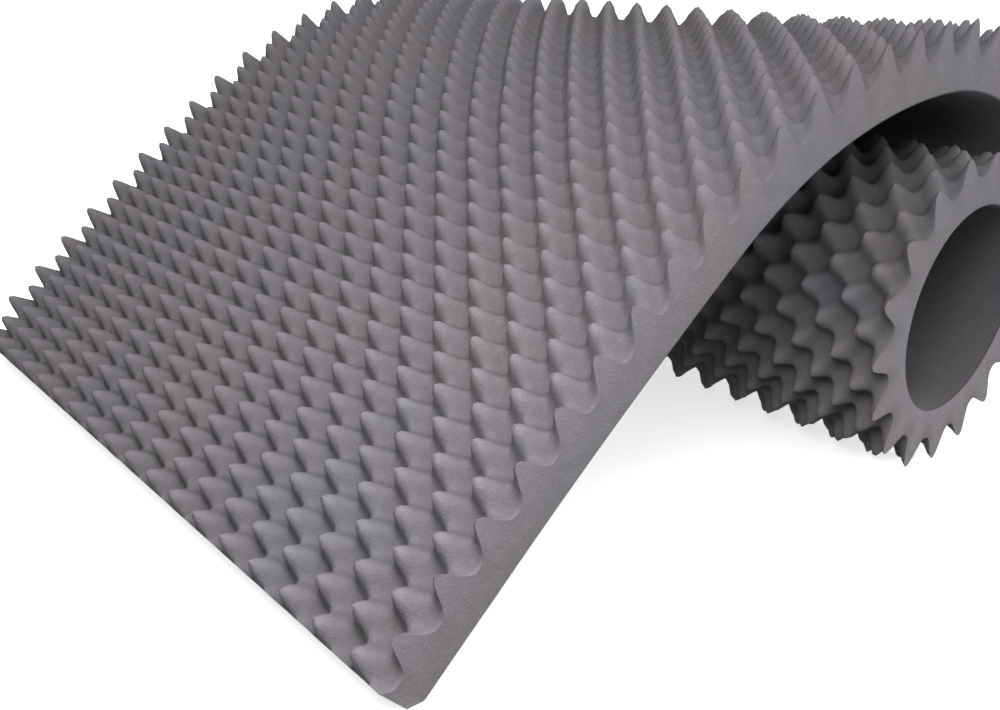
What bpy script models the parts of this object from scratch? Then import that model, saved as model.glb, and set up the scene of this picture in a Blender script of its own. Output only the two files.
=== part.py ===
"""Egg crate foam topper, lying bent: up a ramp, over a crest, down and curled back under itself.

One sheet of flexible foam, 0.875 m wide, 2.00 m long and 73 mm thick. One face is smooth. The other is
cut into staggered peaks and pits. The sheet is bent only about Y, so it is drawn as a side profile in
the XZ plane and a relief that stands off that profile. Lengths in the named sizes are millimetres.
"""

import math

import bmesh
import bpy
from mathutils import Vector

MM = 0.001

# The sheet laid flat.
WIDTH = 875.0
LENGTH = 2000.0
BASE = 40.0
RELIEF = 33.0

# Peaks repeat every PITCH along a row. Rows run across the sheet every half pitch, and each row is
# shifted by half a pitch from the last. END_OFFSET is how far the first row lies from the cut end.
PITCH = 50.0
HALF = PITCH / 2
END_OFFSET = 12.5
CELLS_ACROSS = 35
ROWS_ALONG = 80

# The line at mid depth of the plain base keeps its length when the sheet is bent. It starts at the
# foot with this heading above the floor, and runs through arcs of the lengths and turns given here.
START_Z = 4.5
START_HEADING = 46.4
PROFILE = (
    # name, length in mm, turn in degrees
    ("ramp", 300.0, -4.5),
    ("upper ramp", 150.0, -1.5),
    ("shoulder", 170.0, -17.0),
    ("crest rise", 190.0, -17.5),
    ("crest fall", 140.0, -23.0),
    ("right shoulder", 130.0, -31.0),
    ("right side", 150.0, -41.5),
    ("lower right", 160.0, -49.5),
    ("bottom right", 120.0, -44.5),
    ("bottom left", 100.0, -45.5),
    ("curl lower side", 110.0, -44.5),
    ("curl upper side", 150.0, -58.5),
    ("tucked end", 130.0, -50.0),
)

# The tucked end is pressed from above by the sheet that passes over it: from PRESS_FROM to the end the
# relief sinks to this share of its height.
PRESS_FROM = 1840.0
PRESS_SHARE = 0.5

# Rows nearer the tucked end than this have plain two-triangle cells.
PLAIN_ROWS = 7


def profile_point(distance):
    """Point and heading on the mid line of the base, this far from the foot's cut end."""
    x = 0.0
    z = START_Z
    heading = math.radians(START_HEADING)
    left = distance
    for name, length, turn in PROFILE:
        run = min(left, length)
        bend = math.radians(turn) / length
        after = heading + bend * run
        x += (math.sin(after) - math.sin(heading)) / bend
        z += (math.cos(heading) - math.cos(after)) / bend
        heading = after
        left -= run
        if left <= 0.0:
            break
    return x, z, heading


def pressed(distance):
    """Share of its free height that the relief keeps, this far from the foot."""
    t = max(0.0, (distance - PRESS_FROM) / (LENGTH - PRESS_FROM))
    return 1.0 - (1.0 - PRESS_SHARE) * t * t * (3.0 - 2.0 * t)


def thickness(distance, across):
    """Thickness of the foam: base and relief. A row with a peak on one long edge has a pit on the other."""
    along_wave = math.cos(2.0 * math.pi * (distance - END_OFFSET - HALF) / PITCH)
    across_wave = math.cos(2.0 * math.pi * across / PITCH)
    return BASE + RELIEF * pressed(distance) * (1.0 + along_wave * across_wave) / 2.0


def place(distance, across, depth):
    """Point in metres: `depth` is measured from the smooth face, into the foam and out to the peaks."""
    x, z, heading = profile_point(distance)
    out = depth - BASE / 2.0
    y = across - WIDTH / 2.0
    return Vector((x - out * math.sin(heading), y, z + out * math.cos(heading))) * MM


def foam_material():
    """Grey open-cell foam."""
    material = bpy.data.materials.new("grey_foam")
    material.use_nodes = True
    shader = material.node_tree.nodes["Principled BSDF"]
    shader.inputs["Base Color"].default_value = (0.17, 0.165, 0.17, 1.0)
    shader.inputs["Roughness"].default_value = 0.95
    return material


def row_distances():
    """Distances of the rows of peaks and pits, with the two cut ends."""
    rows = [END_OFFSET + HALF * i for i in range(ROWS_ALONG)]
    return [0.0] + rows + [LENGTH]


def build_sheet(bm):
    """Relief face, smooth face, long edges and cut ends of the sheet."""
    distances = row_distances()
    across = [HALF * j for j in range(CELLS_ACROSS + 1)]
    top = [[bm.verts.new(place(d, a, thickness(d, a))) for a in across] for d in distances]
    near = [bm.verts.new(place(d, 0.0, 0.0)) for d in distances]
    far = [bm.verts.new(place(d, WIDTH, 0.0)) for d in distances]

    last = len(distances) - 1
    for i in range(last):
        plain = i == 0 or i >= last - PLAIN_ROWS
        for j in range(CELLS_ACROSS):
            a, b = top[i][j], top[i + 1][j]
            c, d = top[i + 1][j + 1], top[i][j + 1]
            if plain and (i + j) % 2:
                add_faces(bm, (a, c, b), (a, d, c))
            elif plain:
                add_faces(bm, (a, d, b), (b, d, c))
            else:
                middle_distance = (distances[i] + distances[i + 1]) / 2.0
                middle_across = across[j] + HALF / 2.0
                depth = thickness(middle_distance, middle_across)
                m = bm.verts.new(place(middle_distance, middle_across, depth))
                add_faces(bm, (a, m, b), (b, m, c), (c, m, d), (d, m, a))
        add_faces(bm, (near[i], near[i + 1], far[i + 1], far[i]))
        add_faces(bm, (near[i + 1], near[i], top[i][0], top[i + 1][0]))
        add_faces(bm, (far[i], far[i + 1], top[i + 1][-1], top[i][-1]))
    add_faces(bm, [near[0], far[0]] + list(reversed(top[0])))
    add_faces(bm, [far[-1], near[-1]] + top[-1])


def add_faces(bm, *loops):
    """One face for each loop of vertices."""
    for loop in loops:
        bm.faces.new(loop)


def press_on_floor(bm):
    """Cut flat, at floor level, what the weight of the sheet presses flat: the foot and the low peaks."""
    geometry = bm.verts[:] + bm.edges[:] + bm.faces[:]
    cut = bmesh.ops.bisect_plane(
        bm, geom=geometry, dist=1e-6, plane_co=(0.0, 0.0, 0.0), plane_no=(0.0, 0.0, 1.0), clear_inner=True
    )
    rim = [e for e in cut["geom_cut"] if isinstance(e, bmesh.types.BMEdge)]
    bmesh.ops.edgeloop_fill(bm, edges=rim)


def centre_on_origin(bm):
    """Move the sheet so the middle of its length from left to right is at X = 0."""
    xs = [v.co.x for v in bm.verts]
    shift = -(min(xs) + max(xs)) / 2.0
    bmesh.ops.translate(bm, verts=bm.verts[:], vec=(shift, 0.0, 0.0))


for thing in list(bpy.data.objects):
    bpy.data.objects.remove(thing, do_unlink=True)

mesh = bpy.data.meshes.new("foam_sheet")
bm = bmesh.new()
build_sheet(bm)
press_on_floor(bm)
centre_on_origin(bm)
bmesh.ops.recalc_face_normals(bm, faces=bm.faces[:])
bm.to_mesh(mesh)
bm.free()

sheet = bpy.data.objects.new("foam_sheet", mesh)
mesh.materials.append(foam_material())
bpy.context.scene.collection.objects.link(sheet)
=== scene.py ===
# %% [markdown]
# # Egg crate foam topper
#
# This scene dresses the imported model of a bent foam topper: one sheet of grey open-cell foam with a
# relief of staggered peaks on one face. It slopes up from its foot, turns over a crest and curls back
# under itself. The sheet is modelled flat, as the factory cuts it, and then bent.

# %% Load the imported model
import math

import bpy
from mathutils import Matrix, Vector, noise


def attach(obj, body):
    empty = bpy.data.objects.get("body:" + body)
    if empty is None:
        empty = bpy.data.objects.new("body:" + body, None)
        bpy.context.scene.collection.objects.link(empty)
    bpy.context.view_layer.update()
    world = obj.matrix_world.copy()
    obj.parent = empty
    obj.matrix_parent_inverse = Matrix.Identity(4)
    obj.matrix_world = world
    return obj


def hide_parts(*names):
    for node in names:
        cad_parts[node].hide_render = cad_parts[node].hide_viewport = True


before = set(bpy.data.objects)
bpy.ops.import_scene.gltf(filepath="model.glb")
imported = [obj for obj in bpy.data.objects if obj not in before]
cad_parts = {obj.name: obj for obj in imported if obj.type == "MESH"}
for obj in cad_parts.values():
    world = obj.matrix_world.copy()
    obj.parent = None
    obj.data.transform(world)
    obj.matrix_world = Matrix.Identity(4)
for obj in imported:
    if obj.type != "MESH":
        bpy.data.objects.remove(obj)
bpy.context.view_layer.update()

# %% [markdown]
# ## Sizes
#
# The sizes of the sheet stand here, in millimetres, as a maker would order it: 875 x 2000 x 73 mm, of
# which 33 mm is relief. A peak comes back every 50 mm along a row. They repeat the sizes of the packed
# model, so the dressed sheet lies in the same place.

# %% Sizes of the sheet
MM = 0.001
WIDTH = 875.0
LENGTH = 2000.0
BASE = 40.0
RELIEF = 33.0
PITCH = 50.0
END_OFFSET = 12.5

START_Z = 4.5
START_HEADING = 46.4
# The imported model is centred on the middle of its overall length, which moves the foot this far.
CENTRE_X = -488.914
PROFILE = (
    # name, length in mm, turn in degrees
    ("ramp", 300.0, -4.5),
    ("upper ramp", 150.0, -1.5),
    ("shoulder", 170.0, -17.0),
    ("crest rise", 190.0, -17.5),
    ("crest fall", 140.0, -23.0),
    ("right shoulder", 130.0, -31.0),
    ("right side", 150.0, -41.5),
    ("lower right", 160.0, -49.5),
    ("bottom right", 120.0, -44.5),
    ("bottom left", 100.0, -45.5),
    ("curl lower side", 110.0, -44.5),
    ("curl upper side", 150.0, -58.5),
    ("tucked end", 130.0, -50.0),
)
# From here to the tucked end the relief is pressed down to this share of its height.
PRESS_FROM = 1840.0
PRESS_SHARE = 0.5
print("turn of the sheet in all:", sum(turn for name, length, turn in PROFILE), "degrees")

# %% [markdown]
# ## Selecting
#
# Operators act on all that is selected. By hand one would click the edges that an operator should change.
# Here they are picked by their place, and each step starts with nothing else selected.

# %% Helpers for selection
def start_fresh():
    """Leave edit mode and deselect every object."""
    if bpy.context.object and bpy.context.object.mode != "OBJECT":
        bpy.ops.object.mode_set(mode="OBJECT")
    bpy.ops.object.select_all(action="DESELECT")


def select_only(piece):
    """Make this piece the one selected and active object."""
    start_fresh()
    piece.select_set(True)
    bpy.context.view_layer.objects.active = piece


def pick_edges(piece, wanted):
    """Go to edit mode with only those edges selected whose two ends both pass the test."""
    select_only(piece)
    bpy.ops.object.mode_set(mode="EDIT")
    bpy.ops.mesh.select_mode(type="EDGE")
    bpy.ops.mesh.select_all(action="DESELECT")
    bpy.ops.object.mode_set(mode="OBJECT")
    mesh = piece.data
    for edge in mesh.edges:
        edge.select = all(wanted(mesh.vertices[v].co) for v in edge.vertices)
    bpy.ops.object.mode_set(mode="EDIT")


# %% [markdown]
# ## The sheet, laid flat
#
# The factory cuts a thick block in two with a blade between toothed rollers, so each half gets peaks
# where the other has pits. A bump texture could fake that, but the peaks show in every outline, so they
# are real geometry. A grid is the plainest start: its points become the relief, its two long sides are
# extruded down to the smooth face, and a bridge between the two lower edges closes it.

# %% Grid, long sides, smooth face and cut ends
CELLS_ALONG = 480
CELLS_ACROSS = 190
# Two places nearer than this, in mm, count as one.
TINY = 0.01


def on_long_edge(co):
    """Whether a point of the flat sheet lies on one of its two long edges."""
    return abs(co.y) > WIDTH / 2.0 - TINY


start_fresh()
bpy.ops.mesh.primitive_grid_add(x_subdivisions=CELLS_ALONG, y_subdivisions=CELLS_ACROSS, size=1.0)
foam = bpy.context.object
foam.name = "egg_crate_sheet"
foam.data.name = "egg_crate_sheet"

bpy.ops.object.mode_set(mode="EDIT")
bpy.ops.mesh.select_all(action="SELECT")
bpy.ops.transform.resize(value=(LENGTH, WIDTH, 1.0))
bpy.ops.transform.translate(value=(LENGTH / 2.0, 0.0, BASE))
bpy.ops.object.mode_set(mode="OBJECT")

pick_edges(foam, on_long_edge)
bpy.ops.mesh.extrude_region_move(TRANSFORM_OT_translate={"value": (0.0, 0.0, -BASE)})
bpy.ops.object.mode_set(mode="OBJECT")

pick_edges(foam, lambda co: co.z < TINY)
bpy.ops.mesh.bridge_edge_loops()
bpy.ops.object.mode_set(mode="OBJECT")

for end in (0.0, LENGTH):
    pick_edges(foam, lambda co: abs(co.x - end) < TINY)
    bpy.ops.mesh.edge_face_add()
    bpy.ops.object.mode_set(mode="OBJECT")
print("flat sheet:", len(foam.data.vertices), "points,", len(foam.data.polygons), "faces")

# %% [markdown]
# ## The cut edges
#
# The lower edges of a cut foam sheet aren't knife sharp: the foam gives a little. A Bevel modifier that
# picks edges by their angle would round the upper ones too, so the bevel operator rounds these two alone.
# The finish paints shade on them, a thin dark line under the cut wall.

# %% Soften the lower long edges
EDGE_ROUND = 3.0
pick_edges(foam, lambda co: co.z < TINY and on_long_edge(co))
bpy.ops.mesh.bevel(offset=EDGE_ROUND, segments=2, affect="EDGES")
start_fresh()
print("with softened edges:", len(foam.data.polygons), "faces")

# %% [markdown]
# ## The relief
#
# Two waves at right angles, multiplied, give peaks and pits in staggered rows. The blade leaves slimmer
# peaks and wider pits than a pure wave has, so a power narrows the peaks, and the pits sink a little
# below the base. A little slow noise keeps the rows from looking machined: foam springs back a bit
# differently everywhere.
#
# Each point also keeps how far it stands out of the sheet, in an attribute. The foam's finish reads it
# and paints light and shade into the colour: painted shade in the pits and a painted highlight on the
# peaks.

# %% Raise the peaks
PEAK_POWER = 1.6
PIT_SINK = 3.0
# How much lower or farther off its place a peak may stand, and over what distance that changes, in mm.
UNEVEN_HEIGHT = 1.2
UNEVEN_PLACE = 1.0
UNEVEN_SCALE = 70.0
# Without a seed, Blender's noise differs from run to run.
UNEVEN_SEED = 3
# What the attribute holds away from the relief, which paints light and shade into the finish: on the cut
# walls a painted light as bright as the peaks, on the smooth face a painted shade, and on the soft edge
# between those two a deeper painted shade, a thin dark line. The finish takes anything above 1 as 1.
WALL_PAINTED_LIGHT = 1.1
SMOOTH_PAINTED_SHADE = -0.45
EDGE_PAINTED_SHADE = -1.0


def pressed(distance):
    """Share of its free height that the relief keeps, this far from the foot."""
    t = max(0.0, (distance - PRESS_FROM) / (LENGTH - PRESS_FROM))
    return 1.0 - (1.0 - PRESS_SHARE) * t * t * (3.0 - 2.0 * t)


def relief_height(distance, across):
    """Height of the relief above the base, in mm."""
    wobble = noise.noise_vector(Vector((distance, across, 0.0)) / UNEVEN_SCALE)
    s = distance + UNEVEN_PLACE * wobble.x
    a = across + UNEVEN_PLACE * wobble.y
    wave = math.cos(2.0 * math.pi * (s - END_OFFSET - PITCH / 2.0) / PITCH)
    wave *= math.cos(2.0 * math.pi * (a + WIDTH / 2.0) / PITCH)
    share = ((1.0 + wave) / 2.0) ** PEAK_POWER
    height = RELIEF * share - UNEVEN_HEIGHT * abs(wobble.z) * share - PIT_SINK * (1.0 - share)
    return height * pressed(distance)


def painted_light_off_relief(co):
    """What the attribute holds at a point of the walls, the soft edges or the smooth face: painted light on
    the walls, painted shade on the other two.
    """
    if co.z < TINY:
        return SMOOTH_PAINTED_SHADE
    return EDGE_PAINTED_SHADE if co.z < EDGE_ROUND - TINY else WALL_PAINTED_LIGHT


noise.seed_set(UNEVEN_SEED)
# The attribute holds the relief's height share, for painted shade in the pits and a painted highlight on
# the peaks, and painted tones off the relief.
relief_and_painted_light = foam.data.attributes.new("relief", "FLOAT", "POINT")
for vertex in foam.data.vertices:
    if vertex.co.z > BASE - TINY:
        height = relief_height(vertex.co.x, vertex.co.y)
        share = height / RELIEF
        if on_long_edge(vertex.co):
            share = (share + WALL_PAINTED_LIGHT) / 2.0
        vertex.co.z = BASE + height
    else:
        share = painted_light_off_relief(vertex.co)
    relief_and_painted_light.data[vertex.index].value = share
heights = [v.co.z for v in foam.data.vertices]
print("thickness up to", round(max(heights), 1), "mm")

# %% [markdown]
# ## Bending the sheet
#
# A Simple Deform or Curve modifier could bend it, but neither keeps the middle of the base at its own
# length through a dozen arcs. So each point is carried over in code: its distance along the sheet picks
# a place and a heading on the bent middle line, and its height stands square to that line.
#
# A thick sheet that is bent one way turns its free edges the other way. So over the crest the two long
# edges stand a little higher than the middle, as the crest's outline in the photograph does.

# %% Bend along the side profile
# How much higher the long edges stand over the crest, and within what width that has mostly faded.
FLARE = 9.0
FLARE_REACH = 106.0
# Distances from the foot where the flare starts, is full, eases again and ends.
FLARE_STARTS = 100.0
FLARE_FULL = 600.0
FLARE_EASES = 1000.0
FLARE_ENDS = 1300.0


def arc_starts():
    """Where each arc of the middle line starts: distance, x, z, heading and bend per mm."""
    starts = []
    distance, x, z, heading = 0.0, 0.0, START_Z, math.radians(START_HEADING)
    for name, length, turn in PROFILE:
        bend = math.radians(turn) / length
        starts.append((distance, x, z, heading, bend))
        after = heading + bend * length
        x += (math.sin(after) - math.sin(heading)) / bend
        z += (math.cos(heading) - math.cos(after)) / bend
        distance += length
        heading = after
    return starts


def flare(distance, across):
    """How far the long edges turn outward where the sheet is bent over its crest, in mm."""
    rise = min(1.0, max(0.0, (distance - FLARE_STARTS) / (FLARE_FULL - FLARE_STARTS)))
    fall = min(1.0, max(0.0, (FLARE_ENDS - distance) / (FLARE_ENDS - FLARE_EASES)))
    return FLARE * rise * fall * math.exp((abs(across) - WIDTH / 2.0) / FLARE_REACH)


def bent(co, starts):
    """A point of the flat sheet, carried over to the bent one, in mm."""
    start, x, z, heading, bend = [arc for arc in starts if arc[0] <= max(0.0, co.x)][-1]
    after = heading + bend * (co.x - start)
    x += (math.sin(after) - math.sin(heading)) / bend
    z += (math.cos(heading) - math.cos(after)) / bend
    out = co.z - BASE / 2.0 + flare(co.x, co.y)
    return Vector((x + CENTRE_X - out * math.sin(after), co.y, z + out * math.cos(after)))


starts = arc_starts()
for vertex in foam.data.vertices:
    vertex.co = bent(vertex.co, starts) * MM
xs = [v.co.x for v in foam.data.vertices]
print("bent sheet: x from", round(min(xs), 4), "to", round(max(xs), 4), "m")

# %% [markdown]
# ## Resting on the floor
#
# The sheet's weight presses the lowest peaks of the curl and the lower corner of the foot flat. A bisect
# at floor level, filled, gives them their flat spots.

# %% Press flat what stands on the floor
CREASE = math.radians(60.0)
select_only(foam)
bpy.ops.object.mode_set(mode="EDIT")
bpy.ops.mesh.select_all(action="SELECT")
bpy.ops.mesh.bisect(plane_co=(0.0, 0.0, 0.0), plane_no=(0.0, 0.0, 1.0), use_fill=True, clear_inner=True)
bpy.ops.mesh.select_all(action="SELECT")
bpy.ops.mesh.normals_make_consistent(inside=False)
select_only(foam)
bpy.ops.object.shade_smooth_by_angle(angle=CREASE)
start_fresh()
print("lowest point:", round(min(v.co.z for v in foam.data.vertices), 5), "m")

# %% [markdown]
# ## The foam
#
# Open-cell polyurethane foam is a felt of tiny burst bubbles. It has no gloss, a soft edge to its
# shading, and a fine grain that the blade tears open. Its grey is dyed in, a little uneven. A plain
# colour would look like putty, so three patterns build it up: grains, soft patches and wide clouds.
# A fourth layer, read from the relief attribute, paints light and shade into the colour: darker pits,
# smooth face and lower edges, lighter peaks and walls.
# Colours are picked as the sRGB hex values of a paint card, and Blender's sockets want them linear.

# %% Helpers for colours and nodes
def linear(hex_colour):
    """An sRGB hex colour as the linear RGBA that shader sockets take."""
    channels = [int(hex_colour[i:i + 2], 16) / 255.0 for i in (1, 3, 5)]
    return [c / 12.92 if c <= 0.04045 else ((c + 0.055) / 1.055) ** 2.4 for c in channels] + [1.0]


def add_node(material, kind, settings, **links):
    """Add a node. Settings hold its properties and socket values, links the socket that feeds each input.

    A socket is named, or numbered where names repeat: 6 in the settings, _6 as a link.
    """
    tree = material.node_tree
    node = tree.nodes.new(kind)
    for name, value in settings.items():
        if isinstance(name, int) or name in node.inputs:
            node.inputs[name].default_value = value
        else:
            setattr(node, name, value)
    for name, source in links.items():
        slot = int(name[1:]) if name[0] == "_" else name
        tree.links.new(source, node.inputs[slot])
    return node


# %% Sizes and tones of the foam's finish
# Cells of this foam are about 0.7 mm across. They are drawn as 1.8 mm grains, the finest that show.
GRAIN = 1.8
# Soft patches in the tone and wide clouds in the tint, in mm.
MOTTLE = 14.0
CLOUD = 160.0
TONE_DARK = "#777578"
TONE_LIGHT = "#828083"
TINT_COOL = "#f6f6ff"
TINT_WARM = "#fff9f6"
# The tone at a grain's middle and at its rim, which lies RIM_REACH grains out.
GRAIN_MIDDLE = 0.86
GRAIN_RIM = 1.04
RIM_REACH = 0.9
# Painted light and shade: the tone where the relief attribute is -1, the deepest painted shade, and where
# it is 1 or more, the painted highlight.
PAINTED_SHADE_TONE = 0.42
PAINTED_HIGHLIGHT_TONE = 1.22
# Depth of the grains and of the patches in mm, and how much of it the shading shows.
GRAIN_DEPTH = 0.6
GRAIN_SHADED = 0.5
MOTTLE_DEPTH = 2.0
MOTTLE_SHADED = 0.4
print("grains to a centimetre:", round(10.0 / GRAIN, 1))


# %% Open-cell foam material
def open_cell_foam():
    """Grey flexible polyurethane foam, contour cut: matt, with torn cells, and light and shade painted in
    from the relief attribute.
    """
    material = bpy.data.materials.new("open_cell_foam")
    material.use_nodes = True
    shader = material.node_tree.nodes["Principled BSDF"]
    shader.inputs["Roughness"].default_value = 0.95
    shader.inputs["IOR"].default_value = 1.5
    shader.inputs["Specular IOR Level"].default_value = 0.15
    place = add_node(material, "ShaderNodeTexCoord", {}).outputs["Object"]
    # The relief attribute, which drives the painted shade and highlight below.
    relief = add_node(material, "ShaderNodeAttribute", {"attribute_name": "relief"}).outputs["Fac"]

    grain = add_node(
        material, "ShaderNodeTexVoronoi", {"Scale": 1.0 / (GRAIN * MM), "feature": "F1"}, Vector=place
    ).outputs["Distance"]
    mottle = add_node(
        material, "ShaderNodeTexNoise", {"Scale": 1.0 / (MOTTLE * MM), "Detail": 4.0}, Vector=place
    ).outputs["Fac"]
    cloud = add_node(
        material, "ShaderNodeTexNoise", {"Scale": 1.0 / (CLOUD * MM), "Detail": 2.0}, Vector=place
    ).outputs["Fac"]

    tone = add_node(
        material, "ShaderNodeMix",
        {"data_type": "RGBA", 6: linear(TONE_DARK), 7: linear(TONE_LIGHT)}, _0=mottle
    ).outputs[2]
    tint = add_node(
        material, "ShaderNodeMix",
        {"data_type": "RGBA", 6: linear(TINT_COOL), 7: linear(TINT_WARM)}, _0=cloud
    ).outputs[2]
    pores = add_node(
        material, "ShaderNodeMapRange",
        {"From Min": 0.0, "From Max": RIM_REACH, "To Min": GRAIN_MIDDLE, "To Max": GRAIN_RIM}, Value=grain
    ).outputs[0]
    # Painted shade and highlight: this darkens the colour where the relief attribute is low and lightens it
    # where it is high.
    painted_light_and_shade = add_node(
        material, "ShaderNodeMapRange",
        {"From Min": -1.0, "From Max": 1.0, "To Min": PAINTED_SHADE_TONE, "To Max": PAINTED_HIGHLIGHT_TONE}, Value=relief
    ).outputs[0]

    colour = tone
    for layer in (tint, pores, painted_light_and_shade):
        multiply = {"data_type": "RGBA", "blend_type": "MULTIPLY", 0: 1.0}
        colour = add_node(material, "ShaderNodeMix", multiply, _6=colour, _7=layer).outputs[2]

    torn = add_node(
        material, "ShaderNodeBump", {"Strength": GRAIN_SHADED, "Distance": GRAIN_DEPTH * MM}, Height=grain
    ).outputs["Normal"]
    soft = add_node(
        material, "ShaderNodeBump", {"Strength": MOTTLE_SHADED, "Distance": MOTTLE_DEPTH * MM},
        Height=mottle, Normal=torn
    ).outputs["Normal"]
    material.node_tree.links.new(colour, shader.inputs["Base Color"])
    material.node_tree.links.new(soft, shader.inputs["Normal"])
    return material


foam.data.materials.append(open_cell_foam())
print("finish:", foam.data.materials[0].name, "with", len(foam.data.materials[0].node_tree.nodes), "nodes")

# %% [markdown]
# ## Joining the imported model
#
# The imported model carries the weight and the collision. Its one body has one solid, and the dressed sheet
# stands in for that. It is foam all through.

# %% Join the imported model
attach(foam, "root")
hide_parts("foam_sheet")

# %% [markdown]
# ## Floor
#
# The photograph is a cut-out on white. A white world alone would catch no shadow, and a flat floor ends in
# a grey horizon. So the floor is a white lit table, whose rim rises far away into a cove. It glows a
# little, which keeps the sheet's shadow pale, and it lights nothing from below, because the inside of the
# curl is dark in the photograph.

# %% Floor with a cove
FLOOR_SIZE = 16.0
COVE_REACH = 24.0
COVE_RISE = 8.0
# The floor lies this far under the sheet, in metres, so the two never share a plane.
FLOOR_GAP = 0.0005
TABLE_GLOW = 0.7


def white_paper():
    """Matt white paper on a lit table."""
    material = bpy.data.materials.new("white_paper")
    material.use_nodes = True
    shader = material.node_tree.nodes["Principled BSDF"]
    shader.inputs["Base Color"].default_value = linear("#f7f7f7")
    shader.inputs["Roughness"].default_value = 0.9
    shader.inputs["Emission Color"].default_value = linear("#ffffff")
    shader.inputs["Emission Strength"].default_value = TABLE_GLOW
    return material


start_fresh()
bpy.ops.mesh.primitive_plane_add(size=FLOOR_SIZE, location=(0.0, 0.0, -FLOOR_GAP))
floor = bpy.context.object
floor.name = "floor"
pick_edges(floor, lambda co: True)
bpy.ops.mesh.extrude_edges_move(TRANSFORM_OT_translate={"value": (0.0, 0.0, COVE_RISE)})
spread = (FLOOR_SIZE + 2.0 * COVE_REACH) / FLOOR_SIZE
bpy.ops.transform.resize(value=(spread, spread, 1.0))
start_fresh()
floor.data.materials.append(white_paper())
floor.visible_diffuse = False
print("floor and cove:", len(floor.data.polygons), "faces")

# %% [markdown]
# ## Light
#
# The foam in the photograph is lit from above and from the camera's side, without hard shadows, and most
# brightly at its foot. The sky alone would light the undersides too much, so it is weak, and three lamps
# do the rest. The key light is a very wide sun, almost overhead. A lamp on the right lights the cut
# walls, and a small one beside the camera lights the foot.

# %% Sky, sun and lamps
SKY_STRENGTH = 0.14
SUN_STRENGTH = 1.85
SUN_WIDTH = math.radians(85.0)
SUN_HEADING = Vector((0.20, 0.42, -0.88))
# Places, targets and sizes of the two square lamps, in metres.
WALL_LAMP_PLACE = Vector((2.4, -2.2, 0.7))
WALL_LAMP_TARGET = Vector((0.1, -0.2, 0.25))
WALL_LAMP_SIZE = 1.2
WALL_LAMP_WATTS = 50.0
FOOT_LAMP_PLACE = Vector((-0.72, -0.7, 0.66))
FOOT_LAMP_TARGET = Vector((-0.4, -0.3, 0.05))
FOOT_LAMP_SIZE = 0.3
FOOT_LAMP_WATTS = 5.2


def add_light(name, kind, place, heading):
    """A lamp that shines along its heading. Its own settings are left to the caller."""
    light = bpy.data.lights.new(name, kind)
    lamp = bpy.data.objects.new(name, light)
    bpy.context.scene.collection.objects.link(lamp)
    lamp.location = place
    lamp.rotation_euler = heading.to_track_quat("-Z", "Y").to_euler()
    return light


def add_square_lamp(name, place, target, size, watts):
    """A square area lamp that looks at its target."""
    light = add_light(name, "AREA", place, target - place)
    light.shape = "SQUARE"
    light.size = size
    light.energy = watts


add_square_lamp("side", WALL_LAMP_PLACE, WALL_LAMP_TARGET, WALL_LAMP_SIZE, WALL_LAMP_WATTS)
add_square_lamp("front", FOOT_LAMP_PLACE, FOOT_LAMP_TARGET, FOOT_LAMP_SIZE, FOOT_LAMP_WATTS)
sun = add_light("key", "SUN", Vector((0.0, 0.0, 0.0)), SUN_HEADING)
sun.energy = SUN_STRENGTH
sun.angle = SUN_WIDTH

sky = bpy.data.worlds.new("sky")
sky.use_nodes = True
sky.node_tree.nodes["Background"].inputs["Color"].default_value = linear("#ffffff")
sky.node_tree.nodes["Background"].inputs["Strength"].default_value = SKY_STRENGTH
bpy.context.scene.world = sky
bpy.context.scene.view_settings.view_transform = "Standard"
print("lights:", [light.name for light in bpy.data.lights])

# %% [markdown]
# ## Camera
#
# The camera stands near the foot and looks up the ramp. Its place and turn were worked out from the rows
# of peaks, which form a square lattice of known pitch.

# %% Camera
IMAGE_WIDTH = 1000.0
FOCAL_PIXELS = 1032.1
SENSOR = 36.0
EYE = Vector((-0.8758, -0.9334, 0.4998))
AHEAD = Vector((0.6406, 0.6941, -0.3285)).normalized()
ROUGHLY_UP = Vector((0.1669, 0.2916, 0.9419))
aside = AHEAD.cross(ROUGHLY_UP).normalized()
up = aside.cross(AHEAD)

camera_data = bpy.data.cameras.new("camera")
camera_data.sensor_width = SENSOR
camera_data.lens = SENSOR * FOCAL_PIXELS / IMAGE_WIDTH
camera = bpy.data.objects.new("camera", camera_data)
bpy.context.scene.collection.objects.link(camera)
turn = Matrix((aside, up, -AHEAD)).transposed().to_4x4()
camera.matrix_world = Matrix.Translation(EYE) @ turn
bpy.context.scene.camera = camera
print("lens:", round(camera_data.lens, 2), "mm")
